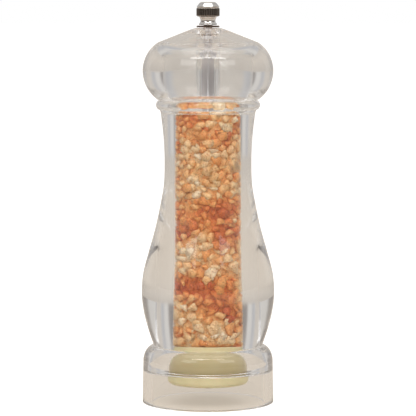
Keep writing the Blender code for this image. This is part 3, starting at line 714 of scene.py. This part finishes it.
def make_knob():
    """The chrome adjusting nut, with a finely ribbed band, and the washer under it."""
    low, high = BAND_Z
    band = [(knurled, high - 0.35), (knurled, high - 0.5), (knurled, low + 0.5), (knurled, low + 0.35)]
    top = rounded([
        (0.0, HEIGHT), corner(KNOB_TOP_R, HEIGHT, 0.9), corner(KNOB_R - 0.1, high + 0.6, 0.6),
        corner(KNOB_R - 0.45, high, 0.1),
    ], closed=False, steps=8)[:-1]
    under = [corner(KNOB_R - 0.35, low, 0.1), corner(KNOB_FOOT_R - 0.2, low - 0.25, 0.2)]
    under += arc((WAIST_R + WAIST_SIZE[0], WAIST_Z), WAIST_SIZE, 150, 215, 12)
    under += [corner(KNOB_FOOT_R, KNOB_Z + 0.5, 0.3), corner(KNOB_FOOT_R, KNOB_Z, 0.15)]
    under += [(KNOB_BORE_R, KNOB_Z), (KNOB_BORE_R, KNOB_BORE_Z), (0.0, KNOB_BORE_Z)]
    knob = loft("knob_chrome", top + band + rounded(under, closed=False), KNURLS * 6, closed=False)
    # painted shade over the knurled band, darkest in its grooves and standing in for dark reflections
    marked(knob, "painted_band_shade", painted_band_shade_at)
    chrome = metal_material(
        "chrome_plate", (0.80, 0.785, 0.77), (0.70, 0.68, 0.655), (0.08, 0.16), (0.15, 0.15, 1.0), 0.002,
        painted_band_shade=True,
    )
    place(knob, chrome, "knob", "chrome", "knob")
    low, high = WASHER_Z
    washer = loft("knob_washer_chrome", rounded([
        corner(STUD_HOLE_R, high, 0.1), corner(WASHER_R, high, 0.25), corner(WASHER_R, low, 0.25),
        corner(STUD_HOLE_R, low, 0.1),
    ]), FINE)
    # painted reflection: the washer is plain chrome darkened in colour to dark brown, as it would reflect
    # the dark surroundings low down
    washer_painted_dark = metal_material(
        "chrome_painted_dark", (0.20, 0.15, 0.12), (0.10, 0.07, 0.06), (0.2, 0.35), (0.3, 0.3, 1.0), 0.004
    )
    place(washer, washer_painted_dark, "washer", "chrome", "knob_washer")


def threaded(radius, depth, pitch, height):
    """The radius of a right-hand thread at one height."""
    return lambda angle: radius - depth * abs(((height / pitch - angle / 360.0) % 1.0) * 2 - 1)


def make_shaft():
    """The square drive rod, drilled at its foot, with its turned and threaded upper end."""
    low, high = SHAFT_Z
    hole_r = ROTOR_SCREW["shank_r"] + 0.2
    hole_top = low + ROTOR_SCREW["length"] + 1.0
    square = flats(SHAFT_SIDE, 4, 0.2)
    end = flats(SHAFT_SIDE - 0.5, 4, 0.2)
    rings = [(0.0, hole_top), (hole_r, hole_top - 0.6), (hole_r, low), (end, low), (square, low + 0.3)]
    rings += [(square, low + (high - low - 0.3) * i / 24) for i in range(1, 25)]
    rings += [(end, high), (STUD_R, high), (STUD_R, high + 0.2), (STUD_R, THREAD_LOW_Z - 0.3)]
    steps = round((STUD_Z - 0.4 - THREAD_LOW_Z) / THREAD_PITCH * 8)
    for i in range(steps + 1):
        height = THREAD_LOW_Z + (STUD_Z - 0.4 - THREAD_LOW_Z) * i / steps
        rings.append((threaded(STUD_R, THREAD_DEPTH, THREAD_PITCH, height), height))
    rings += [(STUD_R - 0.4, STUD_Z), (0.0, STUD_Z)]
    shaft = loft("drive_shaft", rings, FINE, closed=False)
    material = metal_material(
        "drawn_aluminium", (0.80, 0.79, 0.81), (0.66, 0.65, 0.67), (0.34, 0.5), (1.0, 1.0, 0.03), 0.012
    )
    place(shaft, material, "grinding_shaft", "aluminium", "shaft")


def make_screw(name, sizes, steel, body, x, y, z):
    """A pan-head screw with a cross recess and a thread, whose head bears at height z."""
    head_r, head, shank_r, length, pitch = sizes.values()
    rings = rounded([
        (0.0, -head), corner(head_r * 0.72, -head, 0.4 * head), corner(head_r, -0.35 * head, 0.3 * head),
        corner(head_r, 0.0, 0.1), (shank_r * 0.8, 0.0),
    ], closed=False)
    steps = round(length / pitch * 6)
    for i in range(1, steps):
        height = length * i / steps
        taper = min(1.0, (length - height) / 1.2 + 0.35)
        rings.append((threaded(shank_r * taper, 0.22 * shank_r, pitch, height), height))
    screw = loft(name, [*rings, (0.0, length)], 36, closed=False)
    half, arm = head_r * 0.13, head_r * 0.62
    blades = []
    for number, (wide, deep) in enumerate(((arm, half), (half, arm))):
        outline = [(-wide, -deep), (wide, -deep), (wide, deep), (-wide, deep)]
        blades.append(prism(f"{name}_blade_{number}", outline, -head - 1.0, -head * 0.35))
    cut(screw, *blades)
    screw.data.transform(Matrix.Translation((x * MM, y * MM, z * MM)) @ Matrix.Rotation(0.5, 4, "Z"))
    place(screw, steel, body, "stainless_steel", name.replace("_steel", ""))


def make_steel_pieces():
    steel = metal_material(
        "stainless_steel", (0.62, 0.61, 0.60), (0.50, 0.49, 0.48), (0.16, 0.32), (0.3, 0.3, 1.0), 0.006
    )
    square = flats(SQUARE_HOLE, 4, 0.1)
    low, high = THRUST_Z
    edge = 0.12
    thrust = loft("thrust_washer_steel", [
        (square, high), (THRUST_R - edge, high), (THRUST_R, high - edge), (THRUST_R, low + edge),
        (THRUST_R - edge, low), (square, low),
    ], FINE)
    place(thrust, steel, "drive", "stainless_steel", "thrust_washer")
    low, high = ROTOR_WASHER_Z
    hole = ROTOR_SCREW["shank_r"] + 0.3
    washer = loft("rotor_washer_steel", rounded([
        corner(hole, high, 0.1), corner(ROTOR_WASHER_R, high, 0.2), corner(ROTOR_WASHER_R, low, 0.2),
        corner(hole, low, 0.1),
    ]), FINE)
    place(washer, steel, "grinding_shaft", "stainless_steel", "rotor_washer")
    make_screw("rotor_screw_steel", ROTOR_SCREW, steel, "grinding_shaft", 0, 0, ROTOR_WASHER_Z[0] - GAP)
    for number, angle in enumerate(GRINDER_SCREWS_AT, 1):
        x, y = at(GRINDER_SCREW_CIRCLE, angle)
        make_screw(f"grinder_screw_{number}_steel", GRINDER_SCREW, steel, "body", x, y, GRINDER_SCREW_Z)
    make_spring(steel)


def make_spring(steel):
    """The open coil, one rigid piece. In the real mill it shortens towards the rotor's hub as the knob
    draws the shaft up.
    """
    low, high = SPRING_Z
    per_turn = 36
    count = round(SPRING_TURNS * per_turn) + 1
    curve = bpy.data.curves.new("spring_curve", "CURVE")
    curve.dimensions = "3D"
    curve.bevel_depth = SPRING_WIRE / 2 * MM
    curve.bevel_resolution = 4
    curve.use_fill_caps = True
    spline = curve.splines.new("POLY")
    spline.points.add(count - 1)
    for i, point in enumerate(spline.points):
        x, y = at(SPRING_R, 360.0 * i / per_turn)
        height = low + SPRING_WIRE / 2 + (high - low - SPRING_WIRE) * i / (count - 1)
        point.co = (x * MM, y * MM, height * MM, 1.0)
    source = bpy.data.objects.new("spring_curve", curve)
    bpy.context.scene.collection.objects.link(source)
    bpy.context.view_layer.update()
    evaluated = source.evaluated_get(bpy.context.evaluated_depsgraph_get())
    spring = finished("spring_steel", bpy.data.meshes.new_from_object(evaluated))
    bpy.data.objects.remove(source)
    place(spring, steel, "grinding_shaft", "stainless_steel", "spring")
    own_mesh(spring)


# ---------------------------------------------------------------- grinder
def window(direction):
    """One opening of the bridge, between two spokes, as seen from above."""
    inner, outer, half = BRIDGE_HUB_R, WINDOW_R, SPOKE_WIDTH / 2
    points = []
    for radius, ends in ((inner, (1, -1)), (outer, (-1, 1))):
        spread = 60.0 - math.degrees(math.asin(half / radius))
        for i in range(25):
            share = ends[0] + (ends[1] - ends[0]) * i / 24
            points.append(at(radius, direction + spread * share))
    return points


def make_housing(plastic):
    low, high = HOUSING_Z
    sleeve_bore, sleeve_r = SLEEVE_R
    housing = loft("grinder_housing_cream", rounded([
        corner(sleeve_bore, SLEEVE_Z, 0.3), corner(sleeve_r, SLEEVE_Z, 0.4), corner(sleeve_r, high, 0.3),
        corner(HOUSING_R, high, 0.6), corner(HOUSING_R, low, 0.3), corner(SEAT_R, low, 0.3),
        corner(SEAT_R, SEAT_Z, 0.2), corner(STATOR_BORE[1] + 0.9, SEAT_Z, 0.2),
        corner(WINDOW_R + 0.6, BRIDGE_Z - 0.6, 0.3), corner(WINDOW_R + 0.6, BRIDGE_Z, 0.2),
        corner(BRIDGE_BORE_R, BRIDGE_Z, 0.2), corner(BRIDGE_BORE_R, high, 0.4),
        corner(sleeve_bore, high, 0.3),
    ]), STEPS)
    cutters = [prism(f"window_{angle:.0f}", window(angle), BRIDGE_Z - 0.4, high + 1.0) for angle in KEYS_AT]
    for angle in KEYS_AT:
        across, along = at(1.0, angle), at(1.0, angle + 90)
        inner, outer, half = *KEY_SLOT_R, KEY_SLOT_HALF
        outline = []
        for out, side in ((inner, -half), (outer, -half), (outer, half), (inner, half)):
            outline.append((out * across[0] + side * along[0], out * across[1] + side * along[1]))
        cutters.append(prism(f"key_slot_{angle:.0f}", outline, low - 1.0, SEAT_Z))
    cut(housing, *cutters)
    # painted shade: the housing darkens in colour towards its foot
    marked(housing, "painted_foot_shade", lambda p: max(0.0, min(1.0, (high - 0.5 - p.z) / (high - low)))**1.3)
    place(housing, plastic, "body", "cream_plastic", "grinder_housing")


def make_collar(plastic):
    low, high = COLLAR_Z
    outline = [corner(COLLAR_R, high, 0.4)]
    outline += arc((COLLAR_R - COLLAR_EDGE, low + COLLAR_EDGE), (COLLAR_EDGE, COLLAR_EDGE), 0, -90, 12)
    outline += [corner(LIP_R, low, 0.5), corner(LIP_R, LIP_Z, 0.1), corner(SEAT_R, LIP_Z, 0.1)]
    outline += [corner(SEAT_R, high, 0.3)]
    collar = loft("grinder_collar_cream", rounded(outline), STEPS)
    pockets = []
    for number, angle in enumerate(GRINDER_SCREWS_AT):
        x, y = at(GRINDER_SCREW_CIRCLE, angle)
        ring = [(x + px, y + py) for px, py in (at(SCREW_POCKET_R, 12.0 * i) for i in range(30))]
        pockets.append(prism(f"pocket_{number}", ring, low - 1.0, GRINDER_SCREW_Z + GAP))
    cut(collar, *pockets)
    place(collar, plastic, "body", "cream_plastic", "grinder_collar")


def make_hub(plastic):
    low, high = HUB_Z
    hole, hexagon, tip = flats(SQUARE_HOLE, 4, 0.1), flats(HUB_HEX, 6, 0.2), flats(HUB_HEX - 0.6, 6, 0.2)
    top = low + HUB_FLANGE
    hub = loft("rotor_hub_cream", [
        (hole, high), (tip, high), (hexagon, high - 0.3), (hexagon, top + 0.1), (HUB_FLANGE_R - 0.2, top),
        (HUB_FLANGE_R, top - 0.2), (HUB_FLANGE_R, low + 0.2), (HUB_FLANGE_R - 0.2, low), (hole, low),
    ], FINE)
    place(hub, plastic, "grinding_shaft", "cream_plastic", "rotor_hub")


def saw_teeth(radius, depth):
    """A radius that falls along each tooth and climbs back steeply, with soft crests as fired."""
    pitch = 360.0 / TEETH

    def radius_at(angle):
        share = (angle % pitch) / pitch
        return radius - depth * (share / 0.8 if share < 0.8 else (1 - share) / 0.2)

    return radius_at


def keyed(radius):
    """The stator's outer radius, with its three keys."""
    half_width = 6.0
    return lambda angle: radius + KEY_HEIGHT * any(abs(angle - key) < half_width for key in KEYS_AT)


def make_burrs():
    """The fixed ring and the turning cone, with teeth that lean as they climb."""
    ceramic = ceramic_material()
    low, high = STATOR_Z
    bores = [radius + TOOTH_DEPTH for radius in STATOR_BORE]
    key_z = HOUSING_Z[0] + 0.3
    rings = [(STATOR_R - 0.4, high), (keyed(STATOR_R - 0.2), high - 0.1), (keyed(STATOR_R), high - 0.4)]
    rings += [(keyed(STATOR_R), key_z), (STATOR_R, key_z - 0.2), (STATOR_R, low + 0.3)]
    rings += [(STATOR_R - 0.3, low), (bores[0] + 0.3, low)]
    for i in range(9):
        share = i / 8
        radius = bores[0] + (bores[1] - bores[0]) * share
        height = low + 0.2 + (high - low - 0.4) * share
        rings.append((saw_teeth(radius, TOOTH_DEPTH), height, TOOTH_TWIST * share))
    rings.append((bores[1] + 0.3, high, TOOTH_TWIST))
    stator = loft("stator_ring_ceramic", rings, TEETH * 10)
    place(stator, ceramic, "body", "burr_ceramic", "stator_ring")
    low, high = ROTOR_Z
    wide, narrow = ROTOR_R
    hexagon = flats(CONE_HEX, 6, 0.2)
    rings = [(hexagon, high), (narrow - 1.4, high)]
    for i in range(9):
        share = i / 8
        radius = narrow + (wide - narrow) * share
        height = high - 0.15 - (high - low - 0.3) * share
        rings.append((saw_teeth(radius, TOOTH_DEPTH * (2 - share)), height, TOOTH_TWIST * (1 - share)))
    rings += [(wide - 0.9, low), (hexagon, low)]
    rotor = loft("rotor_cone_ceramic", rings, TEETH * 10)
    place(rotor, ceramic, "grinding_shaft", "burr_ceramic", "rotor_cone")


def make_grinder():
    cream = plastic_material("cream_moulded_plastic", (0.70, 0.625, 0.35), (0.77, 0.69, 0.42))
    # the housing's plastic: nearly the same cream, with painted shade darkening it towards its foot
    cream_painted_shade = plastic_material(
        "cream_plastic_painted_shade", (0.72, 0.63, 0.36), (0.78, 0.69, 0.42), painted_foot_shade=(0.34, 0.27, 0.12)
    )
    make_housing(cream_painted_shade)
    make_collar(cream)
    make_hub(cream)
    make_burrs()


# ---------------------------------------------------------------- studio
def make_floor():
    """A plain pale floor, white to the camera and as grey as the walls to the acrylic and chrome, with a
    painted shadow round the mill.

    Reflections in polished faces show it darker far off in front, round the camera and beyond it.
    """
    mesh = bpy.data.meshes.new("floor")
    side = FLOOR_SIDE
    corners = [(-side, -side, 0), (side, -side, 0), (side, side, 0), (-side, side, 0)]
    mesh.from_pydata(corners, [], [(0, 1, 2, 3)])
    floor = bpy.data.objects.new("floor", mesh)
    bpy.context.scene.collection.objects.link(floor)
    floor.location.z = -FLOOR_DROP
    material, tree, shader = new_material("pale_floor", Roughness=0.9, Emission_Strength=1.0)
    shader.inputs["Specular IOR Level"].default_value = 0.0
    color = ramp(tree, noise(tree, 0.002), [(0.3, (0.30, 0.268, 0.228)), (0.7, (0.32, 0.285, 0.245))])
    tree.links.new(color, shader.inputs["Base Color"])
    spot = tree.nodes.new("ShaderNodeTexCoord")
    split = tree.nodes.new("ShaderNodeSeparateXYZ")
    tree.links.new(spot.outputs["Object"], split.inputs[0])
    dark_from, dark_to, darkest = -0.9, -1.6, 0.3       # metres along Y, and the share of the glow left
    far = ranged(tree, split.outputs["Y"], dark_to, dark_from, darkest, 1.0)
    shade = mixed(tree, light_path(tree, "Is Glossy Ray"), WHITE, far)
    reach = tree.nodes.new("ShaderNodeVectorMath")
    reach.operation = "LENGTH"
    tree.links.new(spot.outputs["Object"], reach.inputs[0])
    near, distant = 0.1, 0.7                            # metres from the mill's axis
    away = ranged(tree, reach.outputs["Value"], near, distant, 0.0, 1.0)
    # painted shadow: the glow is dimmer and warmer near the mill
    spread = mixed(tree, away, FLOOR_NEAR_SHADOWED, FLOOR_FAR)
    gray = mixed(tree, 1.0, spread, shade, "MULTIPLY")
    glow = mixed(tree, light_path(tree, "Is Camera Ray"), gray, WHITE)
    tree.links.new(glow, shader.inputs["Emission Color"])
    mesh.materials.append(material)


def make_softbox(name, spot, size, power):
    """A rectangular lamp at a spot in metres, aimed at the mill."""
    light = bpy.data.lights.new(name, "AREA")
    light.shape, light.size, light.size_y, light.energy = "RECTANGLE", *size, power
    lamp = bpy.data.objects.new(name, light)
    lamp.location = spot
    way = Vector(AIM) - Vector(spot)
    lamp.rotation_euler = way.to_track_quat("-Z", "Y").to_euler()
    bpy.context.scene.collection.objects.link(lamp)


def make_world():
    """Walls that the acrylic bends into view, against a plain white that only the camera sees.

    Reflections also show a dark zone in front, on a level with the mill, where the camera stands.
    """
    world = bpy.data.worlds.new("studio")
    bpy.context.scene.world = world
    world.use_nodes = True
    tree = world.node_tree
    spot = tree.nodes.new("ShaderNodeTexCoord")
    split = tree.nodes.new("ShaderNodeSeparateXYZ")
    tree.links.new(spot.outputs["Generated"], split.inputs[0])
    flatness = 1.3             # at 0 the dark zone in front would be as high as it is wide
    level = calculated(tree, "ABSOLUTE", split.outputs["Z"])
    behind = calculated(tree, "MULTIPLY_ADD", level, flatness, split.outputs["Y"])
    front = ramp(tree, ranged(tree, behind, -1.0, 1.0, 0.0, 1.0), [
        (0.0, DARK_COLOR), (0.045, DARK_COLOR), (0.08, (0.20, 0.18, 0.16)),
        (0.30, (0.30, 0.27, 0.24)), (0.42, WHITE), (1.0, WHITE),
    ])
    across = calculated(tree, "ABSOLUTE", split.outputs["X"])
    sides = ramp(tree, across, [
        (0.0, WALL_COLOR), (0.26, WALL_COLOR), (0.35, (0.51, 0.505, 0.51)), (0.50, (0.45, 0.45, 0.465)),
        (0.64, SIDE_COLOR), (0.79, SIDE_COLOR), (0.86, (0.30, 0.275, 0.26)), (1.0, (0.20, 0.18, 0.17)),
    ])
    background = tree.nodes["Background"]
    shade = mixed(tree, light_path(tree, "Is Glossy Ray"), WHITE, front)
    walls = mixed(tree, 1.0, sides, shade, "MULTIPLY")
    seen = mixed(tree, light_path(tree, "Is Camera Ray"), walls, WHITE)
    tree.links.new(seen, background.inputs["Color"])


def make_camera():
    """A long lens a little above the middle of the mill, level enough to show no floor edge."""
    camera = bpy.data.objects.new("camera", bpy.data.cameras.new("camera"))
    bpy.context.scene.collection.objects.link(camera)
    camera.location = CAMERA_AT
    camera.rotation_euler.x = math.radians(90 - CAMERA_TILT)
    camera.data.lens = CAMERA_LENS
    camera.data.sensor_width = 36.0
    camera.data.clip_start, camera.data.clip_end = 0.05, 60
    bpy.context.scene.camera = camera


def make_studio():
    scene = bpy.context.scene
    scene.view_settings.view_transform = "Standard"
    scene.cycles.max_bounces = LIGHT_BOUNCES
    scene.cycles.glossy_bounces = LIGHT_BOUNCES
    scene.cycles.transmission_bounces = LIGHT_BOUNCES
    scene.cycles.transparent_max_bounces = CLEAR_BOUNCES
    make_floor()
    make_world()
    make_softbox("left_softbox", (-0.7, -0.9, 0.8), (0.6, 0.4), 1.8)
    make_softbox("right_softbox", (0.7, -0.9, 0.8), (0.6, 0.4), 1.8)
    make_softbox("top_softbox", (0, -0.2, 1.1), (1.2, 0.5), 3.0)
    make_softbox("front_strip", (0, -0.65, 0.9), (1.0, 0.12), 3.0)
    make_camera()


make_clear_pieces()
make_salt()
make_knob()
make_shaft()
make_steel_pieces()
make_grinder()
make_studio()
